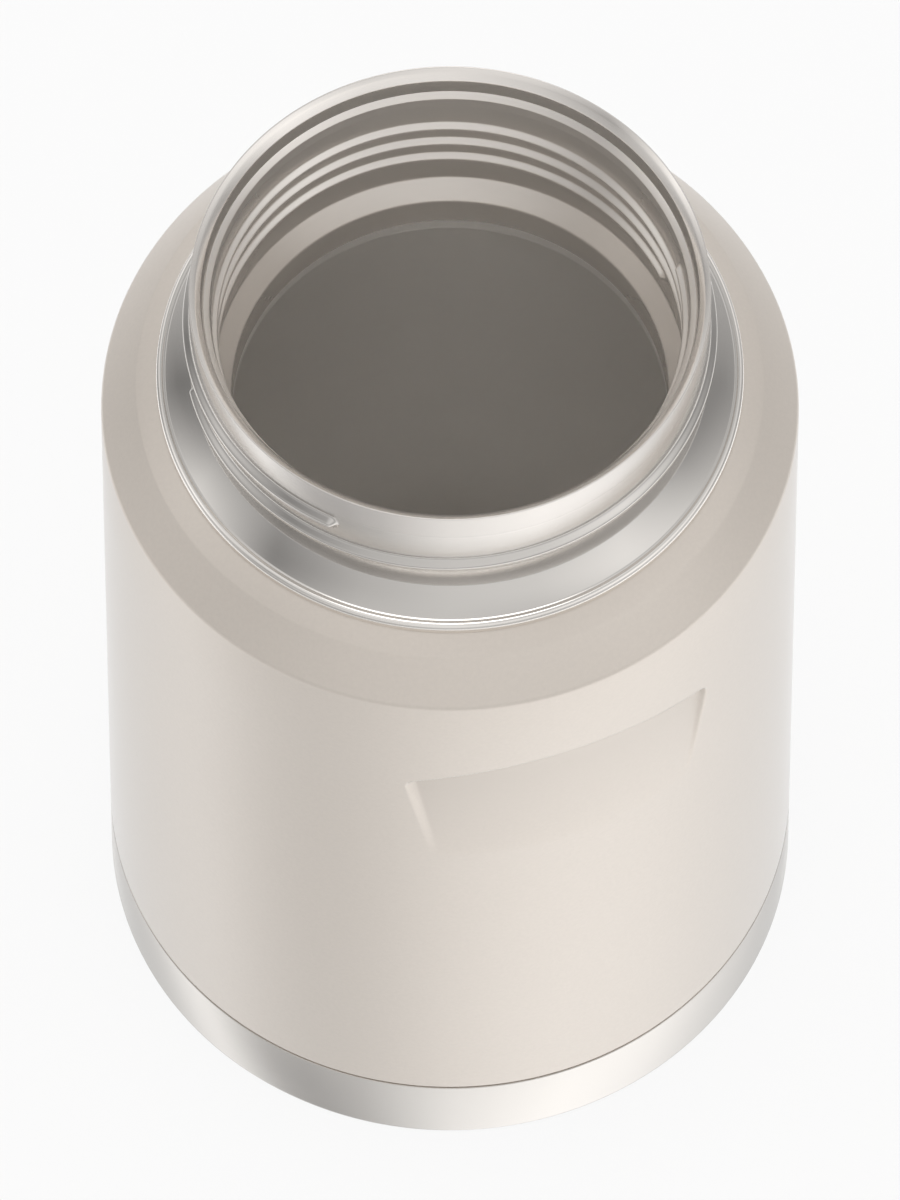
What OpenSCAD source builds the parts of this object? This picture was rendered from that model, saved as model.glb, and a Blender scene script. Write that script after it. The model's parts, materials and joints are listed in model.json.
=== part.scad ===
// Insulated food jar: a double-walled vacuum vessel of pressed steel, open at the top.
// The origin is the centre of the foot, +Z is up, and the badge pocket faces -Y.

/* [Trunk] */
// Outer diameter of the trunk
body_d = 98; // [90:0.5:110]
// Height of the shoulder's lower edge above the foot
shoulder_h = 126.8; // [100:0.5:170]
// Height of the break in the shoulder above its lower edge
break_rise = 5.8; // [4.5:0.1:7]
// Diameter at the break in the shoulder
break_d = 88.2; // [87:0.1:90]
// Height of the seat under the collar above the shoulder's lower edge
seat_rise = 8; // [7.5:0.1:12]
// Bend radius where the trunk turns into the shoulder
shoulder_bend = 1.4; // [0.8:0.1:3]
// Sheet thickness of the outer shell
shell_t = 0.5; // [0.4:0.05:0.6]

/* [Badge pocket] */
// Width of the pocket at its top edge
pocket_top_w = 45.4; // [30:0.2:50]
// Width of the pocket at its lower end
pocket_low_w = 38.6; // [26:0.2:44]
// Height of the pocket's upper corners above the foot
pocket_top_h = 104.9; // [95:0.1:110]
// Rise of the pocket's arched top edge over its upper corners
pocket_arch = 4.5; // [1:0.1:6]
// Height of the pocket from its lower end to its upper corners
pocket_h = 20.4; // [12:0.1:26]
// Depth of the pocket at the crown of its top edge
pocket_depth = 1.2; // [0.6:0.05:1.8]
// Corner radius of the pocket
pocket_corner = 1.6; // [0.8:0.1:4]

/* [Collar and neck] */
// Outer diameter of the rolled edge of the collar
collar_d = 82.48; // [81.5:0.02:84]
// Width of the rolled edge of the collar
roll_w = 1.05; // [0.9:0.05:1.4]
// Height of the rolled edge above the collar's seat
roll_h = 1.7; // [1.4:0.05:2]
// Radial width of the shallow groove between the rolled edge and the collar's slope
groove_w = 0.3; // [0.2:0.05:0.5]
// Outer diameter of the neck
neck_d = 72.8; // [71:0.1:74]
// Height of the neck from the top of the collar to its seam with the rim
neck_h = 13.7; // [12.5:0.1:18]
// Angle of the collar's slope below the horizontal
collar_angle = 43; // [38:0.5:48]
// Height of the slope's lower end above the collar's seat
slope_rise = 1.67; // [1.4:0.01:2.2]

/* [Outer thread] */
// Pitch of the outer thread
outer_pitch = 5.5; // [4.6:0.1:6]
// Turns of the outer thread
outer_turns = 1.15; // [0.9:0.05:1.4]
// How far the outer thread stands out from the neck
outer_ridge = 0.95; // [0.6:0.05:1.2]
// Width of the outer thread at its root
outer_root_w = 3.2; // [2:0.1:3.4]
// Height of the outer thread's upper end below the seam of the rim
outer_drop = 2.4; // [1.8:0.1:3.2]
// Direction of the outer thread's upper end, seen from above
outer_start = -135; // [-180:1:180]

/* [Mouth] */
// Height of the rim above its seam with the neck
rim_h = 5.2; // [4.2:0.05:6]
// Diameter of the mouth at the rim's inner top edge
mouth_d = 69.6; // [69:0.1:70]
// How much the mouth narrows on each side down to the step inside
mouth_draft = 0.45; // [0.1:0.05:0.6]
// Fall of the rim's rounded top from its outer to its inner edge
rim_fall = 1.6; // [0.6:0.05:1.8]
// Radius on the rim's outer top edge
rim_round = 0.15; // [0.1:0.05:0.3]
// Height of the step inside the mouth above the seam of the rim
step_rise = 1.6; // [1.2:0.05:2]
// Width and height of the sloped step inside the mouth
step_w = 1.05; // [0.7:0.05:1.2]

/* [Inner neck] */
// Inner diameter of the threaded wall
thread_wall_d = 66.6; // [66:0.1:67.2]
// Length of the threaded wall below the step
thread_wall_h = 21.9; // [20:0.1:24]
// Diameter of the throat
throat_d = 61.2; // [57:0.1:62]
// Height of the sloped sealing ledge
ledge_h = 2.7; // [2.2:0.05:4.5]
// Length of the throat below the ledge
throat_h = 5.2; // [4:0.1:8]
// Sheet thickness of the inner vessel
liner_t = 0.5; // [0.4:0.05:0.7]

/* [Inner thread] */
// Pitch of the inner thread
inner_pitch = 4.2; // [3.6:0.1:4.3]
// Turns of the inner thread
inner_turns = 2.98; // [2:0.02:3]
// How far the inner thread stands in from its wall
inner_ridge = 0.85; // [0.5:0.05:1]
// Width of the inner thread at its root
inner_root_w = 2.3; // [1.6:0.1:2.6]
// Depth of the inner thread's upper end below the step
inner_drop = 4.3; // [3.2:0.1:5]
// Direction of the inner thread's upper end, seen from above
inner_start = -4; // [-180:1:180]

/* [Inner vessel] */
// Width of the vacuum space between the trunk and the inner vessel
vacuum_gap = 4; // [3.4:0.1:6]
// Clear height under the inner bottom, above the outer bottom plate
bottom_gap = 6.2; // [5.8:0.1:10]
// Height of the pressed inner bottom's wall
dish_h = 12; // [10:0.5:20]
// Bend radius of the inner bottom's corner
dish_bend = 7; // [4:0.5:9]
// Slope of the inner vessel's shoulder
liner_slope = 35; // [28:1:40]
// Bend radius at the top of the inner vessel's wall
liner_bend = 8; // [4:0.5:12]
// Bend radius below the throat
throat_bend = 3; // [2:0.5:5]
// Thickness of the copper foil
foil_t = 0.1; // [0.05:0.05:0.2]
// Bare length left at each end of the foil wrap
foil_inset = 3; // [2:0.5:8]

/* [Foot] */
// Height of the bare steel band
band_h = 13.7; // [11:0.1:18]
// Gap between the band's upper edge and the step of the trunk
seam_gap = 0.1; // [0.1:0.05:0.4]
// Height over which the trunk steps out to its full diameter
seam_step_h = 0.25; // [0.25:0.05:0.6]
// Sheet thickness of the base cap
cap_t = 0.5; // [0.45:0.05:0.6]
// Radial clearance between the base cap and the trunk's stepped end
cap_fit = 0.05; // [0:0.01:0.1]
// Bend radius of the base cap's lower corner
cap_bend = 1.2; // [0.8:0.1:2.5]
// Outer diameter of the raised middle of the foot
dish_d = 78; // [60:1:82]
// Rise of the middle of the foot above the standing ring
dish_rise = 1.5; // [1:0.1:2.5]
// Thickness of the adhesive ring
bond_t = 0.4; // [0.2:0.05:0.8]
// Outer diameter of the adhesive ring
bond_d = 66; // [50:1:72]
// Inner diameter of the adhesive ring
bond_bore_d = 30; // [24:1:40]
// Height of the outer bottom plate's turned-up wall
plate_wall_h = 5; // [3.5:0.1:8]
// Bend radius of the plate's corner, filled by the foot's weld
plate_bend = 1.2; // [0.8:0.1:2]

/* [Evacuation port and getter] */
// Diameter of the port dimple
dimple_d = 14; // [10:0.5:20]
// Height of the port dimple
dimple_h = 1.2; // [0.8:0.1:1.6]
// Diameter of the port
port_d = 2.4; // [1.5:0.1:4]
// Diameter of the brazed seal
seal_d = 6; // [4.5:0.1:8]
// Thickness of the brazed seal below the plate
seal_t = 0.6; // [0.4:0.1:0.8]
// Distance of the getter from the axis
getter_offset = 24; // [16:0.5:34]
// Diameter of the getter pellet
getter_d = 9; // [6:0.5:12]
// Height of the getter pellet
getter_h = 2.5; // [1.5:0.1:3.5]
// Width of the getter clip
clip_w = 3; // [2:0.1:5]
// Sheet thickness of the getter clip
clip_t = 0.3; // [0.2:0.05:0.5]
// Length of each foot of the getter clip
clip_foot = 3; // [2:0.1:5]

/* [Welds] */
// Leg length of the weld beads
weld_leg = 0.7; // [0.4:0.05:0.9]

/* [Hidden] */
$fn = 120;

// Small fixed shapes
bend_steps = 5;
sheet_bend = 0.7;
step_bend = 0.15;
seat_w = 2;
seat_clear = 0.15;
skirt_fit = 0.1;
ridge_sink = 0.25;
ridge_crest = 0.42;
steps_per_turn = 48;
taper_turns = 0.05;
end_size = 0.002;
pocket_reach = 3;

// Radii that the pieces share
body_r = body_d / 2;
joggle_r = body_r - cap_t - cap_fit;
collar_r = collar_d / 2;
neck_r = neck_d / 2;
mouth_r = mouth_d / 2;
thread_wall_r = thread_wall_d / 2;
throat_r = throat_d / 2;
liner_r = body_r - shell_t - vacuum_gap - liner_t;
plate_r = joggle_r - shell_t;

// Heights that the pieces share
plate_z = dish_rise + cap_t + bond_t;
seat_z = shoulder_h + seat_rise;
slope_out_r = collar_r - roll_w - groove_w;
slope_out_z = seat_z + slope_rise;
seat_in_r = collar_r - seat_w;
slope_in_r = slope_out_r - shell_t;
slope_in_z = slope_out_z - shell_t / 2;
collar_top_z = slope_out_z + (slope_out_r - neck_r) * tan(collar_angle);
seam_z = collar_top_z + neck_h;
top_z = seam_z + rim_h;
step_z = seam_z + step_rise;
ledge_top_z = step_z - thread_wall_h;
ledge_low_z = ledge_top_z - ledge_h;
throat_low_z = ledge_low_z - throat_h;
liner_low_z = plate_z + shell_t + bottom_gap;
dish_top_z = liner_low_z + dish_h;

// A path is a list of [radius, height, bend radius]; straight legs meet in true bends.
function unit(v) = v / norm(v);
function flat(v) = [v[0], v[1]];
function reversed(p) = [for (i = [len(p) - 1:-1:0]) p[i]];
function bend(a, b, c) =
    let(
        u = unit(flat(a) - flat(b)),
        w = unit(flat(c) - flat(b)),
        half = acos(u * w) / 2,
        cut = b[2] / tan(half),
        centre = flat(b) + unit(u + w) * b[2] / sin(half),
        from = flat(b) + u * cut - centre,
        to = flat(b) + w * cut - centre
    )
    [for (i = [0:bend_steps]) centre + b[2] * unit(from * (1 - i / bend_steps) + to * i / bend_steps)];
function corner(a, b, c) = b[2] == 0 ? [flat(b)] : bend(a, b, c);
function path(v) = concat(
    [flat(v[0])],
    [for (i = [1:len(v) - 2]) each corner(v[i - 1], v[i], v[i + 1])],
    [flat(v[len(v) - 1])]
);

// The path moved by t to its left, with mitred joints.
function left(a, b) = let(d = unit(b - a)) [-d[1], d[0]];
function mitre(m, n) = (m + n) / (1 + m * n);
function shifted(p, t) = [
    for (i = [0:len(p) - 1])
        let(
            before = i == 0 ? left(p[0], p[1]) : left(p[i - 1], p[i]),
            after = i == len(p) - 1 ? before : left(p[i], p[i + 1])
        )
        p[i] + t * mitre(before, after)
];

// A pressed sheet of thickness t, turned round the axis, lying to the left of its path.
module sheet(v, t) {
    p = path(v);
    rotate_extrude() polygon(concat(p, reversed(shifted(p, t))));
}

module ring(r_in, r_out, z, h) {
    rotate_extrude() translate([r_in, z]) square([r_out - r_in, h]);
}

// A right-handed ridge that runs down from the angle start at the height z.
// side is 1 for a ridge on the outside of its wall and -1 for one on the inside.
function swell(turn, turns) = sqrt(min(1, (end_size + min(turn, turns - turn)) / taper_turns));
function ridge_ring(r, z, out, root, side) = [
    [r - side * ridge_sink, z - root / 2],
    [r - side * ridge_sink, z + root / 2],
    [r + side * out, z + root * ridge_crest / 2],
    [r + side * out, z - root * ridge_crest / 2]
];
module ridge(r, z, out, root, pitch, turns, start, side) {
    rings = ceil(turns * steps_per_turn);
    points = [
        for (i = [0:rings])
            let(turn = turns * i / rings, angle = start - 360 * turn, grow = swell(turn, turns))
            for (q = ridge_ring(r, z - pitch * turn, out * grow, root * grow, side))
                [q[0] * cos(angle), q[0] * sin(angle), q[1]]
    ];
    sides = [
        for (i = [0:rings - 1]) for (j = [0:3])
            let(a = 4 * i + j, b = 4 * i + (j + 1) % 4)
            each side > 0 ? [[a, b, b + 4], [a, b + 4, a + 4]] : [[b + 4, b, a], [a + 4, b + 4, a]]
    ];
    last = 4 * rings;
    ends = side > 0
        ? [[3, 2, 1, 0], [last, last + 1, last + 2, last + 3]]
        : [[0, 1, 2, 3], [last + 3, last + 2, last + 1, last]];
    polyhedron(points, concat(sides, ends), convexity = 8);
}

// The badge pocket: a wedge between the shell and a prism with an arched top, grown by a wall.
arch_steps = 10;
module pocket_outline(grow) {
    top = pocket_top_w / 2 + grow;
    low = pocket_low_w / 2 + grow;
    slant = atan((pocket_top_w - pocket_low_w) / 2 / pocket_h);
    z_low = pocket_top_h - pocket_h - pocket_reach;
    low_x = low - (pocket_reach + grow) * tan(slant);
    arch = [
        for (i = [1:arch_steps - 1])
            let(along = 1 - 2 * i / arch_steps)
            [top * along, pocket_top_h + grow + pocket_arch * (1 - along * along), 0]
    ];
    polygon(path(concat(
        [[-low_x, z_low, 0], [low_x, z_low, 0], [top, pocket_top_h + grow, pocket_corner + grow]],
        arch,
        [[-top, pocket_top_h + grow, pocket_corner + grow]]
    )));
}
module pocket(grow) {
    floor_r = body_r - pocket_depth - grow;
    crown_z = pocket_top_h + pocket_arch;
    run = pocket_reach * pocket_depth / (pocket_h + pocket_arch);
    intersection() {
        rotate([90, 0, 0]) linear_extrude(body_d) pocket_outline(grow);
        rotate_extrude()
            polygon([
                [floor_r, crown_z + grow + 1],
                [floor_r, crown_z],
                [body_r - grow + run, pocket_top_h - pocket_h - pocket_reach],
                [body_r + pocket_reach, pocket_top_h - pocket_h - pocket_reach],
                [body_r + pocket_reach, crown_z + grow + 1]
            ]);
    }
}

// Outer surface of the trunk, from the foot to the seat under the collar
trunk_path = [
    [joggle_r, plate_z, 0],
    [joggle_r, band_h + seam_gap, step_bend],
    [body_r, band_h + seam_gap + seam_step_h, shell_t + 0.05],
    [body_r, shoulder_h, shoulder_bend],
    [break_d / 2, shoulder_h + break_rise, 2],
    [collar_r - seat_clear, seat_z, sheet_bend],
    [seat_in_r - weld_leg - seat_clear, seat_z, 0]
];
module trunk_shell() {
    color("#D9D1C9")
        difference() {
            rotate_extrude() polygon(concat(path(trunk_path), [[0, seat_z], [0, plate_z]]));
            difference() {
                rotate_extrude()
                    polygon(concat(
                        shifted(path(trunk_path), shell_t),
                        [[seat_in_r - weld_leg - seat_clear, seat_z + 1], [0, seat_z + 1]],
                        [[0, plate_z - 1], [plate_r, plate_z - 1]]
                    ));
                pocket(shell_t);
            }
            pocket(0);
        }
}

module neck_collar() {
    color("#D6D1CC")
        union() {
            rotate_extrude()
                polygon(path([
                    [neck_r - shell_t, seam_z, 0],
                    [neck_r, seam_z, 0],
                    [neck_r, collar_top_z, 0],
                    [slope_out_r, slope_out_z, 0],
                    [slope_out_r + groove_w, seat_z + roll_h - 0.1, 0],
                    [collar_r - 0.6 * roll_w, seat_z + roll_h, 0.5],
                    [collar_r - 0.18 * roll_w, seat_z + roll_h - 0.3, 0.5],
                    [collar_r, seat_z + roll_h - 0.8, 0.8],
                    [collar_r, seat_z, 0],
                    [seat_in_r, seat_z, 0],
                    [slope_in_r, slope_in_z, 0],
                    [neck_r - shell_t, collar_top_z - shell_t / 2, 0]
                ]));
            ridge(neck_r, seam_z - outer_drop, outer_ridge, outer_root_w,
                outer_pitch, outer_turns, outer_start, 1);
        }
}

// The rim; its top falls inwards in a gentle round
module mouth_rim() {
    lip_w = neck_r - mouth_r;
    color("#DEDAD6")
        rotate_extrude()
            polygon(path([
                [neck_r - shell_t, seam_z, 0],
                [neck_r, seam_z, 0],
                [neck_r, top_z, rim_round],
                [neck_r - 0.34 * lip_w, top_z - 0.16 * rim_fall, 1.2],
                [neck_r - 0.75 * lip_w, top_z - 0.54 * rim_fall, 1.4],
                [mouth_r, top_z - 1.06 * rim_fall, 1.6],
                [mouth_r - mouth_draft, step_z, 0],
                [neck_r - shell_t, step_z, 0]
            ]));
}

// Inner surface of the inner neck, from its flange down to the throat
neck_path = [
    [neck_r - shell_t - skirt_fit, step_z, 0],
    [thread_wall_r + step_w, step_z, 0],
    [thread_wall_r + 0.25 * step_w, step_z - 0.8 * step_w, sheet_bend],
    [thread_wall_r, step_z - 2.3 * step_w, sheet_bend],
    [thread_wall_r, ledge_top_z, sheet_bend],
    [throat_r, ledge_low_z, sheet_bend],
    [throat_r, throat_low_z, 0]
];
module liner_neck() {
    color("#BFB9B1")
        union() {
            sheet(neck_path, liner_t);
            ridge(thread_wall_r, step_z - inner_drop, inner_ridge, inner_root_w,
                inner_pitch, inner_turns, inner_start, -1);
        }
}

// Inner surface of the inner vessel, from the throat down to its bottom's wall
slope_run = liner_r - throat_r;
wall_path = [
    [throat_r, throat_low_z, 0],
    [throat_r, throat_low_z - throat_bend, throat_bend],
    [liner_r, throat_low_z - throat_bend - slope_run * tan(liner_slope), liner_bend],
    [liner_r, dish_top_z, 0]
];
wall_top_z = throat_low_z - throat_bend - slope_run * tan(liner_slope) - liner_bend;
module liner_wall() {
    color("#B5AFA7") sheet(wall_path, liner_t);
}

module liner_bottom() {
    color("#B0AAA2")
        sheet([
            [liner_r, dish_top_z, 0],
            [liner_r, liner_low_z + liner_t, dish_bend],
            [0, liner_low_z + liner_t, 0]
        ], liner_t);
}

module foil_wrap() {
    outer = liner_r + liner_t;
    low = dish_top_z + weld_leg + foil_inset;
    color("#B87344") ring(outer, outer + foil_t, low, wall_top_z - foil_inset - low);
}

module foil_disc() {
    r = liner_r - dish_bend;
    color("#B87344") translate([0, 0, liner_low_z - foil_t]) cylinder(r = r, h = foil_t);
}

module base_cap() {
    ring_in_r = dish_d / 2 + dish_rise;
    color("#DAD7D2")
        sheet([
            [0, dish_rise, 0],
            [dish_d / 2, dish_rise, sheet_bend],
            [ring_in_r, 0, sheet_bend],
            [body_r, 0, cap_bend],
            [body_r, band_h, 0]
        ], cap_t);
}

// Outer surface of the bottom plate, from the port dimple to its turned-up wall
plate_path = [
    [0, plate_z + dimple_h, 0],
    [dimple_d / 2 - dimple_h, plate_z + dimple_h, sheet_bend],
    [dimple_d / 2, plate_z, sheet_bend],
    [plate_r, plate_z, plate_bend],
    [plate_r, plate_z + plate_wall_h, 0]
];
module outer_bottom() {
    color("#A9A9A9")
        difference() {
            sheet(plate_path, shell_t);
            translate([0, 0, plate_z]) cylinder(d = port_d, h = dimple_h + 2 * shell_t);
        }
}

module port_seal() {
    color("#8C8478") {
        union() {
            translate([0, 0, plate_z + dimple_h - seal_t]) cylinder(d = seal_d, h = seal_t);
            translate([0, 0, plate_z + dimple_h - seal_t]) cylinder(d = port_d, h = seal_t + shell_t);
        }
    }
}

module getter_pellet() {
    color("#5B5B5E")
        translate([getter_offset, 0, plate_z + shell_t]) cylinder(d = getter_d, h = getter_h);
}

module getter_clip() {
    arch = getter_d / 2 + skirt_fit;
    z = plate_z + shell_t;
    color("#C9C9C9")
        translate([getter_offset, clip_w / 2, z]) rotate([90, 0, 0])
            linear_extrude(clip_w)
                polygon([
                    [-arch - clip_t - clip_foot, 0],
                    [-arch, 0],
                    [-arch, getter_h],
                    [arch, getter_h],
                    [arch, 0],
                    [arch + clip_t + clip_foot, 0],
                    [arch + clip_t + clip_foot, clip_t],
                    [arch + clip_t, clip_t],
                    [arch + clip_t, getter_h + clip_t],
                    [-arch - clip_t, getter_h + clip_t],
                    [-arch - clip_t, clip_t],
                    [-arch - clip_t - clip_foot, clip_t]
                ]);
}

module bond_ring() {
    color("#D8D4C4") ring(bond_bore_d / 2, bond_d / 2, plate_z - bond_t, bond_t);
}

// Weld beads; each lies in the corner or over the butt that it joins.
module weld(profile) {
    color("#9A958D") rotate_extrude() polygon(profile);
}
module butt_weld(r, z) {
    weld([[r, z - weld_leg / 2], [r + weld_leg / 2, z], [r, z + weld_leg / 2]]);
}
module collar_weld() {
    lean = (slope_in_r - seat_in_r) / (slope_in_z - seat_z);
    weld([
        [seat_in_r, seat_z],
        [seat_in_r + lean * weld_leg, seat_z + weld_leg],
        [seat_in_r - weld_leg, seat_z]
    ]);
}
module neck_weld() {
    butt_weld(throat_r + liner_t, throat_low_z);
}
module bottom_weld() {
    butt_weld(liner_r + liner_t, dish_top_z);
}
module base_weld() {
    arc = bend(plate_path[2], plate_path[3], plate_path[4]);
    weld(concat(
        [[plate_r, plate_z], [plate_r, arc[bend_steps - 1][1]]],
        [for (i = [bend_steps - 1:-1:1]) arc[i]],
        [[arc[1][0], plate_z]]
    ));
}

trunk_shell();
neck_collar();
mouth_rim();
liner_neck();
liner_wall();
liner_bottom();
base_cap();
outer_bottom();
port_seal();
getter_pellet();
getter_clip();
foil_wrap();
foil_disc();
bond_ring();
collar_weld();
neck_weld();
bottom_weld();
base_weld();
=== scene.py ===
"""Insulated food jar, open: painted trunk, bare steel collar, threaded neck, steel foot band and inner vessel."""

import json
import math

import bmesh
import bpy
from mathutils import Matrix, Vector


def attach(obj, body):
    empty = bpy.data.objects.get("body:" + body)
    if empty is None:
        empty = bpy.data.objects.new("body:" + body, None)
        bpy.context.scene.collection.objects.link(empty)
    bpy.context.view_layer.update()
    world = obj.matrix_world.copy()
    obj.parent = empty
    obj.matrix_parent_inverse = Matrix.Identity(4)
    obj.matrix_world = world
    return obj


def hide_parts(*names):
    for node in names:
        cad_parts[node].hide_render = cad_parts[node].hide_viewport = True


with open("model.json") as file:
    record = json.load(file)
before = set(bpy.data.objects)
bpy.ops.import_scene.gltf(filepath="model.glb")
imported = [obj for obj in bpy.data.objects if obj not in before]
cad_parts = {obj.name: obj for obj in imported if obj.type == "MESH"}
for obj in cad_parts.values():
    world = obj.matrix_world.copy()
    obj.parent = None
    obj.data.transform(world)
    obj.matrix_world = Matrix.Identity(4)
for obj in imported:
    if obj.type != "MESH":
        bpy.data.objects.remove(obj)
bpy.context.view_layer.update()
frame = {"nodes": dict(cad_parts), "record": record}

MM = 0.001
BODY = "root"
UP = (0, 0, 1)
IN_PLAN = (1, 1, 0)


# ---------------------------------------------------------------- camera

CAMERA_AZIMUTH = -20.0
CAMERA_ELEVATION = 61.014
CAMERA_DISTANCE = 3.5
CAMERA_LENS = 737.246
CAMERA_SENSOR = 36
CAMERA_CLIP = 0.1, 50
AIM = Vector((0, 0, 0.06994))

# Directions from the jar: level towards the camera, level to the camera's right, and up to the camera itself.
TURN, RISE = math.radians(CAMERA_AZIMUTH), math.radians(CAMERA_ELEVATION)
NEAR = (math.sin(TURN), -math.cos(TURN), 0)
RIGHT = (math.cos(TURN), math.sin(TURN), 0)
BACK = (NEAR[0] * math.cos(RISE), NEAR[1] * math.cos(RISE), math.sin(RISE))


def place_camera():
    """A long lens from high on the jar's front left."""
    data = bpy.data.cameras.new("camera")
    data.lens = CAMERA_LENS
    data.sensor_width = CAMERA_SENSOR
    data.clip_start, data.clip_end = CAMERA_CLIP
    camera = bpy.data.objects.new("camera", data)
    camera.location = AIM + Vector(BACK) * CAMERA_DISTANCE
    camera.rotation_mode = "QUATERNION"
    camera.rotation_quaternion = (-Vector(BACK)).to_track_quat("-Z", "Y")
    bpy.context.scene.collection.objects.link(camera)
    bpy.context.scene.camera = camera


place_camera()


# ---------------------------------------------------------------- turning pressed steel
# Sections and the sizes of pieces are in millimetres.

BEND_STEP = math.radians(10)
BEND_LEAST = 3
SHARP_FROM = math.radians(40)
ON_WALL = 0.01
MERGE = 1e-6
WHOLE_TURN = [(360, 240)]


def draw_section(bm, corners, closed=True):
    """Draws a section in the XZ plane; a corner is (radius, height, bend radius)."""
    verts = [bm.verts.new((r * MM, 0, z * MM)) for r, z, bend in corners]
    for i in range(len(verts) if closed else len(verts) - 1):
        bm.edges.new((verts[i], verts[(i + 1) % len(verts)]))
    for vert, (r, z, bend) in zip(verts, corners):
        if bend:
            legs = [edge.other_vert(vert).co - vert.co for edge in vert.link_edges]
            half = legs[0].angle(legs[1]) / 2
            bmesh.ops.bevel(
                bm, geom=[vert], offset=bend * MM / math.tan(half), affect="VERTICES", profile=0.5,
                segments=max(BEND_LEAST, round((math.pi - 2 * half) / BEND_STEP)), material=-1,
            )


def add_wall_stops(bm, radius, heights):
    """Cuts the section's straight wall at the given heights."""
    for height in heights:
        for edge in bm.edges[:]:
            a, b = edge.verts
            if abs(a.co.x / MM - radius) < ON_WALL and abs(b.co.x / MM - radius) < ON_WALL:
                low, high = sorted((a.co.z / MM, b.co.z / MM))
                if low < height < high:
                    share = (height - a.co.z / MM) / ((b.co.z - a.co.z) / MM)
                    bmesh.utils.edge_split(edge, a, share)


def add_rows(bm, radius, low, high, step):
    """Divides the section's straight wall, between two heights, into rows a step apart."""
    for edge in bm.edges[:]:
        a, b = (vert.co / MM for vert in edge.verts)
        on_wall = abs(a.x - radius) < ON_WALL and abs(b.x - radius) < ON_WALL
        if on_wall and min(a.z, b.z) > low - ON_WALL and max(a.z, b.z) < high + ON_WALL:
            cuts = math.ceil(abs(a.z - b.z) / step) - 1
            if cuts > 0:
                bmesh.ops.subdivide_edges(bm, edges=[edge], cuts=cuts)


def turn_section(bm, arcs=WHOLE_TURN):
    """Spins the section round the jar's axis, in arcs of (degrees, steps)."""
    line = bm.verts[:] + bm.edges[:]
    for degrees, steps in arcs:
        line = bmesh.ops.spin(
            bm, geom=line, cent=(0, 0, 0), axis=UP, angle=math.radians(degrees), steps=steps,
            use_merge=degrees == 360,
        )["geom_last"]
    bmesh.ops.remove_doubles(bm, verts=bm.verts, dist=MERGE)
    bmesh.ops.recalc_face_normals(bm, faces=bm.faces)


def face_outwards(bm):
    """Turns an open skin's faces away from the axis."""
    face = max(bm.faces, key=lambda f: f.calc_area())
    if face.normal.dot(face.calc_center_median() * Vector(IN_PLAN)) < 0:
        bmesh.ops.reverse_faces(bm, faces=bm.faces)


def finish_piece(bm, name, node, material):
    """Makes the piece, with smooth walls and crisp edges, in the place of its CAD node."""
    for edge in bm.edges:
        edge.smooth = len(edge.link_faces) == 2 and edge.calc_face_angle() < SHARP_FROM
    mesh = bpy.data.meshes.new(name)
    bm.to_mesh(mesh)
    bm.free()
    for face in mesh.polygons:
        face.use_smooth = True
    mesh.materials.append(material)
    piece = bpy.data.objects.new(name, mesh)
    bpy.context.scene.collection.objects.link(piece)
    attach(piece, BODY)
    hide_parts(node)
    return piece


def turn_piece(name, node, material, corners, closed=True):
    """Makes a piece that is one section turned all round."""
    bm = bmesh.new()
    draw_section(bm, corners, closed)
    turn_section(bm)
    finish_piece(bm, name, node, material)


def clip_to_one(t):
    return min(1.0, max(0.0, t))


def smooth_step(t):
    t = clip_to_one(t)
    return t * t * (3 - 2 * t)


# ---------------------------------------------------------------- finishes

class Nodes:
    """A node tree with a few short ways to add and join its nodes."""

    def __init__(self, tree):
        self.tree = tree

    def add(self, kind, **values):
        node = self.tree.nodes.new(kind)
        for key, value in values.items():
            setattr(node, key, value)
        return node

    def feed(self, socket, value):
        """Gives a socket a number, vector or colour, or joins another node's output to it."""
        if isinstance(value, bpy.types.NodeSocket):
            self.tree.links.new(value, socket)
        else:
            socket.default_value = value

    def maths(self, operation, *values):
        node = self.add("ShaderNodeMath", operation=operation)
        for socket, value in zip(node.inputs, values):
            self.feed(socket, value)
        return node.outputs[0]

    def vectors(self, operation, *values, output="Vector"):
        node = self.add("ShaderNodeVectorMath", operation=operation)
        for socket, value in zip(node.inputs, values):
            self.feed(socket, value)
        return node.outputs[output]

    def split(self, vector):
        node = self.add("ShaderNodeSeparateXYZ")
        self.feed(node.inputs[0], vector)
        return node.outputs

    def spread(self, value, low, high, from_low=0.3, from_high=0.7):
        """Turns from_low into low and from_high into high, evenly between them and level beyond."""
        node = self.add("ShaderNodeMapRange")
        self.feed(node.inputs["Value"], value)
        for socket, number in (("From Min", from_low), ("From Max", from_high), ("To Min", low), ("To Max", high)):
            self.feed(node.inputs[socket], number)
        return node.outputs["Result"]

    def blend(self, part, first, second):
        """Mixes two colours, each plain or from another node."""
        node = self.add("ShaderNodeMix", data_type="RGBA")
        for socket, value in (("Factor", part), ("A", first), ("B", second)):
            self.feed(node.inputs[socket], value)
        return node.outputs["Result"]


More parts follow.
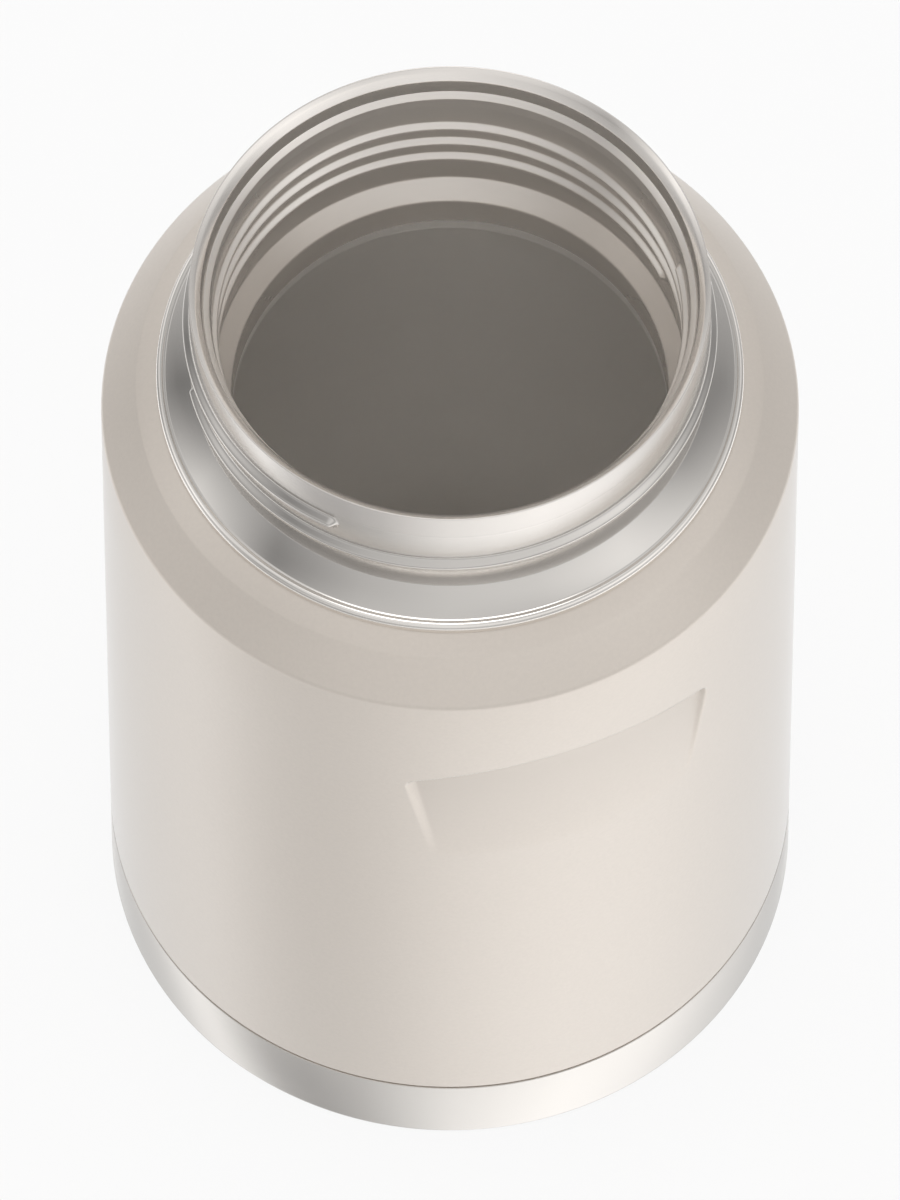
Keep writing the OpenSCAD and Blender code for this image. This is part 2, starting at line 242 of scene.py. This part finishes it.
class Finish(Nodes):
    """A piece's material, built up on its shader."""

    def __init__(self, name, colour, metallic, roughness):
        self.material = bpy.data.materials.new(name)
        self.material.use_nodes = True
        super().__init__(self.material.node_tree)
        self.shader = next(n for n in self.tree.nodes if n.type == "BSDF_PRINCIPLED")
        self.colour = colour
        self.set("Base Color", (*colour, 1))
        self.set("Metallic", metallic)
        self.set("Roughness", roughness)
        self.place = self.add("ShaderNodeTexCoord").outputs["Object"]

    def set(self, socket, value):
        self.feed(self.shader.inputs[socket], value)

    def noise(self, scale, detail=2, place=None, turn=None, rough=0.5):
        """Noise in three dimensions, or in four where turn gives the fourth."""
        node = self.add("ShaderNodeTexNoise", noise_dimensions="3D" if turn is None else "4D")
        self.feed(node.inputs["Vector"], self.place if place is None else place)
        if turn is not None:
            self.feed(node.inputs["W"], turn)
        for socket, number in (("Scale", scale), ("Detail", detail), ("Roughness", rough)):
            self.feed(node.inputs[socket], number)
        return node.outputs["Fac"]

    def vary_colour(self, value, dark, light):
        """Multiplies the colour by a number that goes from dark, where the value is 0, to light, where it is 1."""
        first = (*[c * dark for c in self.colour], 1)
        second = (*[min(1, c * light) for c in self.colour], 1)
        self.set("Base Color", self.blend(value, first, second))

    def bump(self, height, depth, under=None):
        node = self.add("ShaderNodeBump")
        self.feed(node.inputs["Distance"], depth)
        self.feed(node.inputs["Height"], height)
        if under is not None:
            self.feed(node.inputs["Normal"], under)
        self.set("Normal", node.outputs["Normal"])
        return node.outputs["Normal"]

    def flat(self):
        return self.vectors("MULTIPLY", self.place, IN_PLAN)

    def radius(self):
        return self.vectors("LENGTH", self.flat(), output="Value")

    def height(self):
        return self.split(self.place)["Z"]

    def round_place(self, scale, turn_scale):
        """Radius and height times scale, with the direction round the axis as the other two of four dimensions."""
        around = self.split(self.vectors("NORMALIZE", self.flat()))
        place = self.add("ShaderNodeCombineXYZ")
        self.feed(place.inputs["X"], self.maths("MULTIPLY", self.radius(), scale))
        self.feed(place.inputs["Y"], self.maths("MULTIPLY", self.height(), scale))
        self.feed(place.inputs["Z"], self.maths("MULTIPLY", around["X"], turn_scale))
        return place.outputs["Vector"], self.maths("MULTIPLY", around["Y"], turn_scale)

    def run_round(self, amount):
        """Lays the grain round the axis, so that light spreads across it."""
        self.set("Anisotropic", amount)
        self.set("Anisotropic Rotation", 0.25)
        self.set("Tangent", self.vectors("NORMALIZE", self.vectors("CROSS_PRODUCT", UP, self.place)))


# The coat's colour is made darker on the pocket's floor as painted shade, between these heights and within these
# radii, in metres.
POCKET_HEIGHTS = 0.08, 0.115
POCKET_RADII = 0.0481, 0.049
POCKET_PAINTED_SHADE = 0.3


def powder_coat():
    """Satin coat with the soft orange peel of sprayed and baked powder, and painted shade on the pocket's floor.
    """
    coat = Finish("sandstone powder coat", (0.795, 0.724, 0.652), 0.42, 0.42)
    coat.set("Coat Weight", 0.25)
    coat.set("Coat Roughness", 0.2)
    coat.set("Sheen Weight", 0.9)
    coat.set("Sheen Roughness", 0.3)
    low, high = POCKET_HEIGHTS
    height = coat.height()
    elsewhere = coat.maths("ADD", coat.maths("GREATER_THAN", height, high), coat.maths("LESS_THAN", height, low))
    # Painted shade: the coat's colour is darkened on the pocket's floor, most where the pocket sinks deepest.
    painted_pocket_shade = coat.maths("MAXIMUM", coat.spread(coat.radius(), POCKET_PAINTED_SHADE, 1, *POCKET_RADII), elsewhere)
    mottle = coat.spread(coat.noise(1700, 3), 0.75, 1)
    coat.vary_colour(coat.maths("MULTIPLY", mottle, painted_pocket_shade), 0.895, 1.015)
    grit = coat.noise(5200)
    peel = coat.bump(coat.noise(620), 0.00001)
    coat.bump(grit, 0.000003, under=peel)
    coat.set("Roughness", coat.spread(grit, 0.38, 0.46))
    return coat.material


def turned_steel(name, colour, roughness, grain, across, metallic=1.0, painted_highlight=None):
    """Stainless steel with the fine rings left by turning and polishing.

    Where a painted highlight is given, the colour goes from one brightness to another between two radii, in
    metres, at two levels.
    """
    steel = Finish(name, colour, metallic, roughness)
    place, turn = steel.round_place(grain, 1.3)
    rings = steel.noise(1, 3, place, turn, 0.6)
    steel.set("Roughness", steel.spread(rings, roughness * 0.9, roughness * 1.12))
    if painted_highlight:
        radii, levels = painted_highlight
        steel.vary_colour(steel.spread(steel.radius(), 0, 1, *radii), *levels)
    else:
        steel.vary_colour(rings, 0.985, 1.01)
    steel.bump(rings, 0.0000004)
    steel.run_round(across)
    return steel.material


def mill_steel():
    """Cold-rolled sheet, dull and faintly streaked."""
    steel = Finish("mill steel", (0.60, 0.60, 0.59), 1, 0.38)
    streaks = steel.noise(1, 3, steel.vectors("MULTIPLY", steel.place, (120, 2600, 900)))
    steel.set("Roughness", steel.spread(streaks, 0.32, 0.46))
    steel.vary_colour(streaks, 0.92, 1.04)
    steel.bump(streaks, 0.000004)
    return steel.material


def weld_bead():
    """Ripples of a fine weld, with its straw tint varying from place to place."""
    bead = Finish("weld bead", (0.46, 0.43, 0.39), 1, 0.4)
    place, turn = bead.round_place(900, 60)
    ripples = bead.noise(1.4, 1, place, turn)
    bead.set("Roughness", bead.spread(ripples, 0.3, 0.5))
    bead.vary_colour(bead.noise(260), 0.8, 1.12)
    bead.bump(ripples, 0.00006)
    return bead.material


def braze():
    """Dull solder that closes the port."""
    metal = Finish("braze", (0.42, 0.38, 0.31), 1, 0.5)
    lumps = metal.noise(900, 3)
    metal.set("Roughness", metal.spread(lumps, 0.4, 0.62))
    metal.vary_colour(lumps, 0.8, 1.1)
    metal.bump(lumps, 0.00005)
    return metal.material


def getter_powder():
    """Pressed and sintered grey powder."""
    powder = Finish("getter powder", (0.16, 0.16, 0.165), 0.6, 0.75)
    grains = powder.noise(6000, 3)
    powder.vary_colour(grains, 0.7, 1.3)
    powder.bump(grains, 0.00003)
    return powder.material


def copper_foil():
    """Thin bright foil with the small creases of wrapping."""
    foil = Finish("copper foil", (0.78, 0.40, 0.24), 1, 0.2)
    foil.set("Roughness", foil.spread(foil.noise(700), 0.14, 0.3))
    foil.vary_colour(foil.noise(60), 0.9, 1.08)
    foil.bump(foil.noise(140, 4, rough=0.65), 0.0004)
    return foil.material


def bond_silicone():
    """Cured adhesive, cloudy and slightly uneven."""
    bond = Finish("bond silicone", (0.66, 0.63, 0.54), 0, 0.55)
    cloud = bond.noise(300, 3)
    bond.vary_colour(cloud, 0.93, 1.05)
    bond.set("Roughness", bond.spread(cloud, 0.48, 0.62))
    bond.bump(cloud, 0.00004)
    return bond.material


STEEL = (0.70, 0.672, 0.64)
RIM_STEEL = (0.71, 0.676, 0.642)
# The liner's and vessel's steel colours are lighter and warmer than the outer steel's: painted light and a painted
# warm reflection inside the jar.
LINER_STEEL_PAINTED_LIGHT = (0.87, 0.822, 0.772)
VESSEL_STEEL_PAINTED_LIGHT = (0.95, 0.925, 0.89)
# Painted highlights: the collar's rolled bead and the rim's inner slope are lightened between these radii, in
# metres, to these levels.
COLLAR_PAINTED_HIGHLIGHT = (0.0399, 0.0403), (1, 1.33)
RIM_PAINTED_HIGHLIGHT = (0.0361, 0.0364), (1.34, 1)

coat_finish = powder_coat()
collar_finish = turned_steel("turned collar steel", STEEL, 0.15, 3200, 0.5, painted_highlight=COLLAR_PAINTED_HIGHLIGHT)
rim_finish = turned_steel("polished rim steel", RIM_STEEL, 0.14, 4200, 0.4, 0.82, RIM_PAINTED_HIGHLIGHT)
liner_finish = turned_steel("liner steel with painted light", LINER_STEEL_PAINTED_LIGHT, 0.24, 2600, 0.5, 0.68)
vessel_finish = turned_steel("satin vessel steel with painted light", VESSEL_STEEL_PAINTED_LIGHT, 0.4, 1800, 0.3, 0.5)
band_finish = turned_steel("brushed band steel", STEEL, 0.18, 3600, 0.5)
hidden_finishes = {
    "mill_steel": mill_steel(),
    "weld_steel": weld_bead(),
    "braze": braze(),
    "getter_powder": getter_powder(),
    "copper_foil": copper_foil(),
    "bond_silicone": bond_silicone(),
}


# ---------------------------------------------------------------- painted trunk

TRUNK_R = 49.0
TRUNK_SHEET = 0.5
POCKET_TOP = 104.9
POCKET_ARCH = 4.5
POCKET_LOW = 84.5
POCKET_TOP_W = 22.7
POCKET_LOW_W = 19.3
POCKET_DEPTH = 1.2
POCKET_CORNER = 1.6
POCKET_WALL = 0.45
POCKET_SOFT_WALL = 1.35
POCKET_LIP = 0.1

# Where the wall is divided finely for the pocket: rows of (low, high, step), and arcs with its two sides in them.
POCKET_ROWS = ((83.6, 102.6, 0.55), (102.6, 110.2, 0.16))
POCKET_ARCS = [(240.5, 160), (8, 34), (43, 86), (8, 34), (60.5, 40)]


def sink_pocket(bm):
    """Presses the pocket into the trunk's front: deep under its arched top edge, running out to nothing below."""
    lean = math.atan2(POCKET_TOP_W - POCKET_LOW_W, POCKET_TOP - POCKET_LOW)
    crown = POCKET_TOP + POCKET_ARCH
    for vert in bm.verts:
        x, y, z = vert.co / MM
        if y > 0 or not POCKET_LOW < z < crown + 1 or abs(math.hypot(x, y) - TRUNK_R) > ON_WALL:
            continue
        side = (abs(x) - POCKET_LOW_W - (z - POCKET_LOW) * math.tan(lean)) * math.cos(lean) + POCKET_CORNER
        above = z - crown + POCKET_ARCH * (x / POCKET_TOP_W) ** 2 + POCKET_CORNER
        away = math.hypot(max(side, 0), max(above, 0)) + min(max(side, above), 0) - POCKET_CORNER
        wall = POCKET_SOFT_WALL if x < 0 and side > above else POCKET_WALL
        depth = POCKET_DEPTH * (z - POCKET_LOW) / (crown - POCKET_LOW)
        sink = depth * smooth_step((POCKET_LIP - away) / wall)
        vert.co.xy *= 1 - sink / math.hypot(x, y)


def make_trunk():
    bm = bmesh.new()
    draw_section(bm, [
        (48.45, 2.4, 0), (48.45, 13.8, 0.15), (TRUNK_R, 14.05, 0.55), (TRUNK_R, 126.8, 1.4),
        (44.1, 132.6, 2), (41.09, 134.8, 0.7), (38.39, 134.8, 0),
    ], closed=False)
    add_wall_stops(bm, TRUNK_R, [POCKET_ROWS[0][0]] + [high for low, high, step in POCKET_ROWS])
    for low, high, step in POCKET_ROWS:
        add_rows(bm, TRUNK_R, low, high, step)
    turn_section(bm, POCKET_ARCS)
    face_outwards(bm)
    sink_pocket(bm)
    trunk = finish_piece(bm, "painted_trunk", "trunk_shell", coat_finish)
    wall = trunk.modifiers.new("sheet", "SOLIDIFY")
    wall.thickness, wall.offset, wall.use_even_offset = TRUNK_SHEET * MM, -1, True


make_trunk()


# ---------------------------------------------------------------- neck with its two threads

NECK_R = 36.4
NECK_BACK_R = 35.9
NECK_TOP = 153.43
BORE_R = 33.3
BORE_TOP = 155.03
RIM_IN_R = 34.35
THROAT_R = 30.6
THROAT_BACK_R = 31.1
THROAT_LOW = 125.23
THREAD_ROW = 0.11

# A thread runs down from the direction start and the height first, and rises from its wall between low and high.
# Its side is 1 outwards and -1 inwards; root and crest are its widths, and ease is the rounded part of a flank.
OUTER_THREAD = {
    "wall": NECK_R, "low": 139.8, "high": 153.4, "side": 1, "height": 0.95, "root": 3.2, "crest": 0.5,
    "ease": 0.35, "pitch": 5.5, "turns": 1.15, "start": -135, "first": 151.03,
}
INNER_THREAD = {
    "wall": BORE_R, "low": 136.6, "high": 152.2, "side": -1, "height": 0.85, "root": 2.3, "crest": 0.1,
    "ease": 0.3, "pitch": 4.2, "turns": 2.98, "start": -4, "first": 150.73,
}

# Arcs are finer where a thread ends.
COLLAR_ARCS = [(166, 132), (10, 40), (44, 36), (10, 40), (130, 104)]
INNER_NECK_ARCS = [(350, 280), (10, 40)]


def ridge_flank(t, ease):
    """A straight flank from 0 to 1 with an eased foot and crest."""
    t = clip_to_one(t)
    if t < ease:
        return t * t / (2 * ease * (1 - ease))
    if t > 1 - ease:
        return 1 - (1 - t) ** 2 / (2 * ease * (1 - ease))
    return (t - ease / 2) / (1 - ease)


def raise_thread(bm, wall, low, high, side, height, root, crest, ease, pitch, turns, start, first):
    """Rolls a right-hand ridge with round noses into a wall."""
    lap = math.tau * wall
    for vert in bm.verts:
        x, y, z = vert.co / MM
        if abs(math.hypot(x, y) - wall) > ON_WALL or not low < z < high:
            continue
        part = ((start - math.degrees(math.atan2(y, x))) % 360) / 360
        rise = 0.0
        for lap_number in range(-1, math.ceil(turns) + 1):
            run = part + lap_number
            past = max(root / 2 - run * lap, run * lap - turns * lap + root / 2, 0)
            away = math.hypot(past, z - first + pitch * min(max(run, 0), turns))
            rise = max(rise, height * ridge_flank((root / 2 - away) / ((root - crest) / 2), ease))
        vert.co.xy *= 1 + side * rise / wall


def make_collar():
    bm = bmesh.new()
    draw_section(bm, [
        (NECK_BACK_R, NECK_TOP, 0), (NECK_R, NECK_TOP, 0), (NECK_R, 139.73, 0.25), (39.9, 136.46, 0.25),
        (40.2, 136.4, 0.3), (40.6, 136.5, 0.5), (41.05, 136.2, 0.6), (41.24, 135.7, 0.8), (41.24, 134.8, 0.1),
        (39.24, 134.8, 0.1), (39.04, 136.55, 0.3), (NECK_BACK_R, 139.48, 0.25),
    ])
    add_rows(bm, NECK_R, 139.5, NECK_TOP, THREAD_ROW)
    turn_section(bm, COLLAR_ARCS)
    raise_thread(bm, **OUTER_THREAD)
    finish_piece(bm, "steel_collar", "neck_collar", collar_finish)


def make_inner_neck():
    bm = bmesh.new()
    draw_section(bm, [
        (35.8, BORE_TOP, 0), (RIM_IN_R, BORE_TOP, 0.1), (33.55, 154.2, 0.3), (BORE_R, 152.6, 0.8),
        (BORE_R, 133.13, 0.7), (THROAT_R, 130.43, 0.7), (THROAT_R, THROAT_LOW, 0), (THROAT_BACK_R, THROAT_LOW, 0),
        (THROAT_BACK_R, 130.22, 0.2), (33.8, 132.92, 0.2), (33.8, 152.6, 0.2), (34.05, 154.0, 0.2),
        (34.56, 154.53, 0.1), (35.8, 154.53, 0),
    ])
    low, high = INNER_THREAD["low"], INNER_THREAD["high"]
    add_wall_stops(bm, BORE_R, (low, high))
    add_rows(bm, BORE_R, low, high, THREAD_ROW)
    turn_section(bm, INNER_NECK_ARCS)
    raise_thread(bm, **INNER_THREAD)
    finish_piece(bm, "threaded_inner_neck", "liner_neck", liner_finish)


make_collar()
turn_piece("polished_rim", "mouth_rim", rim_finish, [
    (NECK_BACK_R, NECK_TOP, 0), (NECK_R, NECK_TOP, 0), (NECK_R, 158.63, 0.12), (35.62, 158.0, 2.5),
    (34.8, 157.08, 0.45), (RIM_IN_R, BORE_TOP, 0), (NECK_BACK_R, BORE_TOP, 0),
])
make_inner_neck()


# ---------------------------------------------------------------- inner vessel and foot

VESSEL_R = 44
VESSEL_BACK_R = 44.5
VESSEL_LOW = 21.1

turn_piece("inner_wall", "liner_wall", vessel_finish, [
    (THROAT_R, THROAT_LOW, 0), (THROAT_R, 122.23, 3), (VESSEL_R, 112.85, 8), (VESSEL_R, VESSEL_LOW, 0),
    (VESSEL_BACK_R, VESSEL_LOW, 0), (VESSEL_BACK_R, 113.11, 8.5), (THROAT_BACK_R, 122.49, 2.5),
    (THROAT_BACK_R, THROAT_LOW, 0),
])
turn_piece("inner_bottom", "liner_bottom", vessel_finish, [
    (0, 9.6, 0), (VESSEL_R, 9.6, 7), (VESSEL_R, VESSEL_LOW, 0), (VESSEL_BACK_R, VESSEL_LOW, 0),
    (VESSEL_BACK_R, 9.1, 7.5), (0, 9.1, 0),
], closed=False)
turn_piece("foot_band", "base_cap", band_finish, [
    (0, 1.5, 0), (39, 1.5, 0.7), (40.5, 0, 0.7), (49, 0, 1.2), (49, 13.7, 0.1), (48.5, 13.7, 0.1),
    (48.5, 0.5, 0.7), (40.29, 0.5, 1.2), (38.79, 2, 0.2), (0, 2, 0),
], closed=False)


# ---------------------------------------------------------------- hidden CAD pieces

for part in frame["record"]["subparts"]:
    finish = hidden_finishes.get(part["material_slot"])
    if finish:
        node = frame["nodes"][part["node"]]
        node.data.materials.clear()
        node.data.materials.append(finish)


# ---------------------------------------------------------------- floor and light

# The light tent's rings: an elevation in degrees, directions in degrees from the camera's side towards its right,
# and the brightness in each direction.
FINE = (
    -180, -155, -130, -112, -100, -88, -76, -62, -48, -30, -14,
    0, 20, 40, 58, 72, 86, 98, 110, 130, 155, 180,
)
WIDE = (-180, -145, -115, -90, -60, -30, 0, 30, 60, 90, 115, 145, 180)
TENT = [
    (-60, FINE, (
        0.85, 0.8, 0.7, 0.8, 1.1, 1.3, 0.9, 0.5, 0.45, 0.65, 0.95,
        1.2, 1.4, 1.55, 1.45, 1.35, 1.15, 1, 0.9, 0.75, 0.75, 0.85,
    )),
    (-38, WIDE, (1.2, 1.35, 1.4, 1.45, 1.05, 0.75, 1, 1.25, 1.6, 1.45, 1.35, 1.25, 1.2)),
    (-20, WIDE, (0.7, 0.45, 0.4, 0.75, 0.25, 0.3, 0.45, 0.35, 0.4, 0.6, 0.4, 0.4, 0.7)),
    (5, WIDE, (1.05, 0.75, 0.2, 0.4, 0.5, 0.7, 0.8, 0.7, 0.85, 0.3, 0.3, 0.65, 1.05)),
    (30, WIDE, (0.95, 1.05, 0.7, 1.2, 0.25, 0.6, 0.8, 0.9, 1.15, 0.9, 0.65, 1.05, 0.95)),
    (52, WIDE, (0.3, 0.35, 0.65, 0.7, 0.75, 0.85, 0.75, 0.5, 0.5, 0.6, 0.65, 0.4, 0.3)),
]
TENT_TOP = 0.75
TENT_TOP_FROM = 75
ZENITH = 2.6
ZENITH_FROM = 76, 80
WHITE = 1.0
BEHIND_FROM = 0.972, 0.996

# The world's strength; colours are divided by it, because a ramp holds none above 1.
TENT_STRENGTH = 2.0

FLOOR_R = 2.5
FLOOR_COLOUR = (0.95, 0.95, 0.95, 1)
FLOOR_FROST = 0.12


def grey(level):
    return (*[level / TENT_STRENGTH] * 3, 1)


def tent_ring(nodes, angle, around, levels):
    """One ring's brightness by the angle, which goes from 0 to 1 all round."""
    ramp = nodes.add("ShaderNodeValToRGB", label="tent ring")
    nodes.feed(ramp.inputs["Fac"], angle)
    bar = ramp.color_ramp.elements
    while len(bar) < len(levels):
        bar.new(0.5)
    for element, degrees, level in zip(bar, around, levels):
        element.position = degrees / 360 + 0.5
        element.color = grey(level)
    return ramp.outputs["Color"]


def light_tent():
    """A soft tent with bright and grey panels round the jar; behind the jar all see plain white."""
    world = bpy.data.worlds.new("light tent")
    bpy.context.scene.world = world
    world.use_nodes = True
    nodes = Nodes(world.node_tree)
    place = nodes.add("ShaderNodeTexCoord").outputs["Generated"]
    onward = tuple(-part for part in BACK)
    to_near, to_right, to_top, to_back = (
        nodes.vectors("DOT_PRODUCT", place, axis, output="Value") for axis in (NEAR, RIGHT, UP, onward)
    )
    angle = nodes.maths("ADD", nodes.maths("DIVIDE", nodes.maths("ARCTAN2", to_right, to_near), math.tau), 0.5)
    height = nodes.maths("MULTIPLY", nodes.maths("ARCSINE", to_top), 180 / math.pi)
    tent = tent_ring(nodes, angle, *TENT[0][1:])
    for lower, upper in zip(TENT, TENT[1:]):
        share = nodes.spread(height, 0, 1, lower[0], upper[0])
        tent = nodes.blend(share, tent, tent_ring(nodes, angle, *upper[1:]))
    tent = nodes.blend(nodes.spread(height, 0, 1, TENT[-1][0], TENT_TOP_FROM), tent, grey(TENT_TOP))
    tent = nodes.blend(nodes.spread(height, 0, 1, *ZENITH_FROM), tent, grey(ZENITH))
    ray = nodes.add("ShaderNodeLightPath").outputs
    mirrored = nodes.maths("MULTIPLY", ray["Is Glossy Ray"], nodes.spread(to_back, 0, 1, *BEHIND_FROM))
    seen = nodes.maths("MAXIMUM", ray["Is Camera Ray"], ray["Is Transmission Ray"])
    seen = nodes.maths("MAXIMUM", seen, mirrored)
    shader = next(n for n in world.node_tree.nodes if n.type == "BACKGROUND")
    nodes.feed(shader.inputs["Color"], nodes.blend(seen, tent, grey(WHITE)))
    nodes.feed(shader.inputs["Strength"], TENT_STRENGTH)


def pale_floor():
    """A wide sheet of frosted glass, which takes a faint shadow."""
    bm = bmesh.new()
    bmesh.ops.create_circle(bm, cap_ends=True, segments=96, radius=FLOOR_R)
    mesh = bpy.data.meshes.new("pale_floor")
    bm.to_mesh(mesh)
    bm.free()
    glass = bpy.data.materials.new("frosted glass")
    glass.use_nodes = True
    nodes = Nodes(glass.node_tree)
    nodes.tree.nodes.remove(next(n for n in nodes.tree.nodes if n.type == "BSDF_PRINCIPLED"))
    frost = nodes.add("ShaderNodeBsdfDiffuse")
    nodes.feed(frost.inputs["Color"], FLOOR_COLOUR)
    mix = nodes.add("ShaderNodeMixShader")
    nodes.feed(mix.inputs["Fac"], FLOOR_FROST)
    nodes.feed(mix.inputs[1], nodes.add("ShaderNodeBsdfTransparent").outputs[0])
    nodes.feed(mix.inputs[2], frost.outputs[0])
    output = next(n for n in nodes.tree.nodes if n.type == "OUTPUT_MATERIAL")
    nodes.feed(output.inputs["Surface"], mix.outputs[0])
    mesh.materials.append(glass)
    floor = bpy.data.objects.new("pale_floor", mesh)
    bpy.context.scene.collection.objects.link(floor)


light_tent()
pale_floor()

bpy.context.scene.view_settings.view_transform = "Standard"
